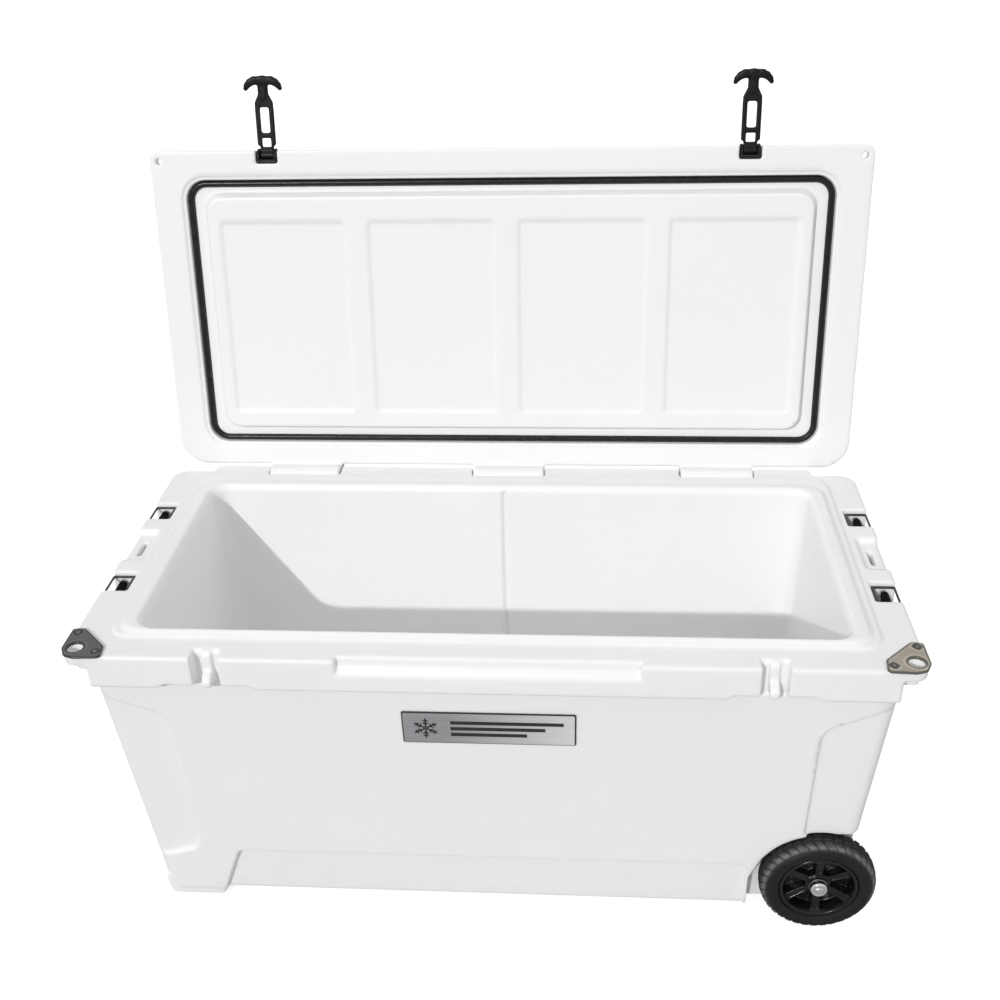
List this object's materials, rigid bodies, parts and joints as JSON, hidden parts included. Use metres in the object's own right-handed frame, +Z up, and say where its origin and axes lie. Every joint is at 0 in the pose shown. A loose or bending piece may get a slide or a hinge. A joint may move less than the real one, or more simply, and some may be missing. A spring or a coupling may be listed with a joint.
{
  "type": "wheeled cooler chest",
  "caption": "Wheeled foam-filled cooler chest: deep tub, hinged gasketed lid with rubber T-latches, carry handles, drain and stainless corner plates.",
  "frame": {"origin": "centre of the tub's flat underside, which stands 15 mm above the floor on the feet and wheels", "axes": "+X along the length towards the wheels, -Y towards the latch side (front), +Z up"},
  "size_m": [1.004, 0.6062, 0.9849],
  "materials": {
    "shell_white": "satin",
    "foam": "matte",
    "stainless": "satin",
    "chrome": "polished",
    "badge_metal": "satin",
    "black_plastic": "satin",
    "latch_rubber": "satin",
    "seal_rubber": "satin",
    "tyre": "matte",
    "webbing": "matte"
  },
  "bodies": {
    "tub": {"tub_shell": "shell_white", "tub_foam_core": "foam", "tub_fill_plug": "shell_white", "badge_backing": "black_plastic", "badge_plate": "badge_metal", "drain_bushing": "black_plastic", "axle": "stainless", "hinge_rod": "stainless", "corner_plate_left": "stainless", "corner_screw_left_1": "stainless", "corner_screw_left_2": "stainless", "hinge_rod_cap_left": "black_plastic", "handle_frame_left_front": "stainless", "handle_pin_left_front": "stainless", "handle_frame_left_back": "stainless", "handle_pin_left_back": "stainless", "corner_plate_right": "stainless", "corner_screw_right_1": "stainless", "corner_screw_right_2": "stainless", "hinge_rod_cap_right": "black_plastic", "handle_frame_right_front": "stainless", "handle_pin_right_front": "stainless", "handle_frame_right_back": "stainless", "handle_pin_right_back": "stainless", "axle_washer_front": "stainless", "axle_nut_front": "chrome", "rubber_foot_front": "seal_rubber", "axle_washer_back": "stainless", "axle_nut_back": "chrome", "rubber_foot_back": "seal_rubber"},
    "lid": {"lid_shell": "shell_white", "lid_foam_core": "foam", "lid_fill_plug": "shell_white", "lid_gasket": "seal_rubber", "latch_base_left": "latch_rubber", "latch_base_right": "latch_rubber", "latch_pin_left": "stainless", "latch_pin_right": "stainless"},
    "left_latch": {"latch_strap_left": "latch_rubber"},
    "right_latch": {"latch_strap_right": "latch_rubber"},
    "front_wheel": {"tyre_front": "tyre", "wheel_rim_front": "black_plastic", "wheel_bushing_front": "black_plastic"},
    "back_wheel": {"tyre_back": "tyre", "wheel_rim_back": "black_plastic", "wheel_bushing_back": "black_plastic"},
    "left_carry_handle": {"handle_grip_left": "black_plastic", "handle_strap_left_front": "webbing", "handle_strap_left_back": "webbing"},
    "right_carry_handle": {"handle_grip_right": "black_plastic", "handle_strap_right_front": "webbing", "handle_strap_right_back": "webbing"},
    "drain_cap": {"drain_plug": "black_plastic", "drain_seal": "seal_rubber"}
  },
  "joints": [
    {"name": "lid_hinge", "type": "hinge", "parent": "tub", "child": "lid", "pos_m": [0, 0.237, 0.415], "axis": [1, 0, 0], "range_deg": [0, 98.8]},
    {"name": "left_latch_hinge", "type": "hinge", "parent": "lid", "child": "left_latch", "pos_m": [-0.33, 0.33208, 0.86576], "axis": [1, 0, 0], "range_deg": [-50, 90]},
    {"name": "right_latch_hinge", "type": "hinge", "parent": "lid", "child": "right_latch", "pos_m": [0.33, 0.33208, 0.86576], "axis": [1, 0, 0], "range_deg": [-50, 90]},
    {"name": "front_wheel_axle", "type": "hinge", "parent": "tub", "child": "front_wheel", "pos_m": [0.416, -0.193, 0.0595], "axis": [0, 1, 0], "continuous": true},
    {"name": "back_wheel_axle", "type": "hinge", "parent": "tub", "child": "back_wheel", "pos_m": [0.416, 0.193, 0.0595], "axis": [0, 1, 0], "continuous": true},
    {"name": "left_handle_swing", "type": "hinge", "parent": "tub", "child": "left_carry_handle", "pos_m": [-0.4855, 0.02, 0.4095], "axis": [0, 1, 0], "range_deg": [0, 85]},
    {"name": "right_handle_swing", "type": "hinge", "parent": "tub", "child": "right_carry_handle", "pos_m": [0.4855, 0.02, 0.4095], "axis": [0, -1, 0], "range_deg": [0, 85]},
    {"name": "drain_plug_turn", "type": "hinge", "parent": "tub", "child": "drain_cap", "pos_m": [-0.46, 0, 0.1], "axis": [-1, 0, 0], "range_deg": [0, 360]}
  ]
}
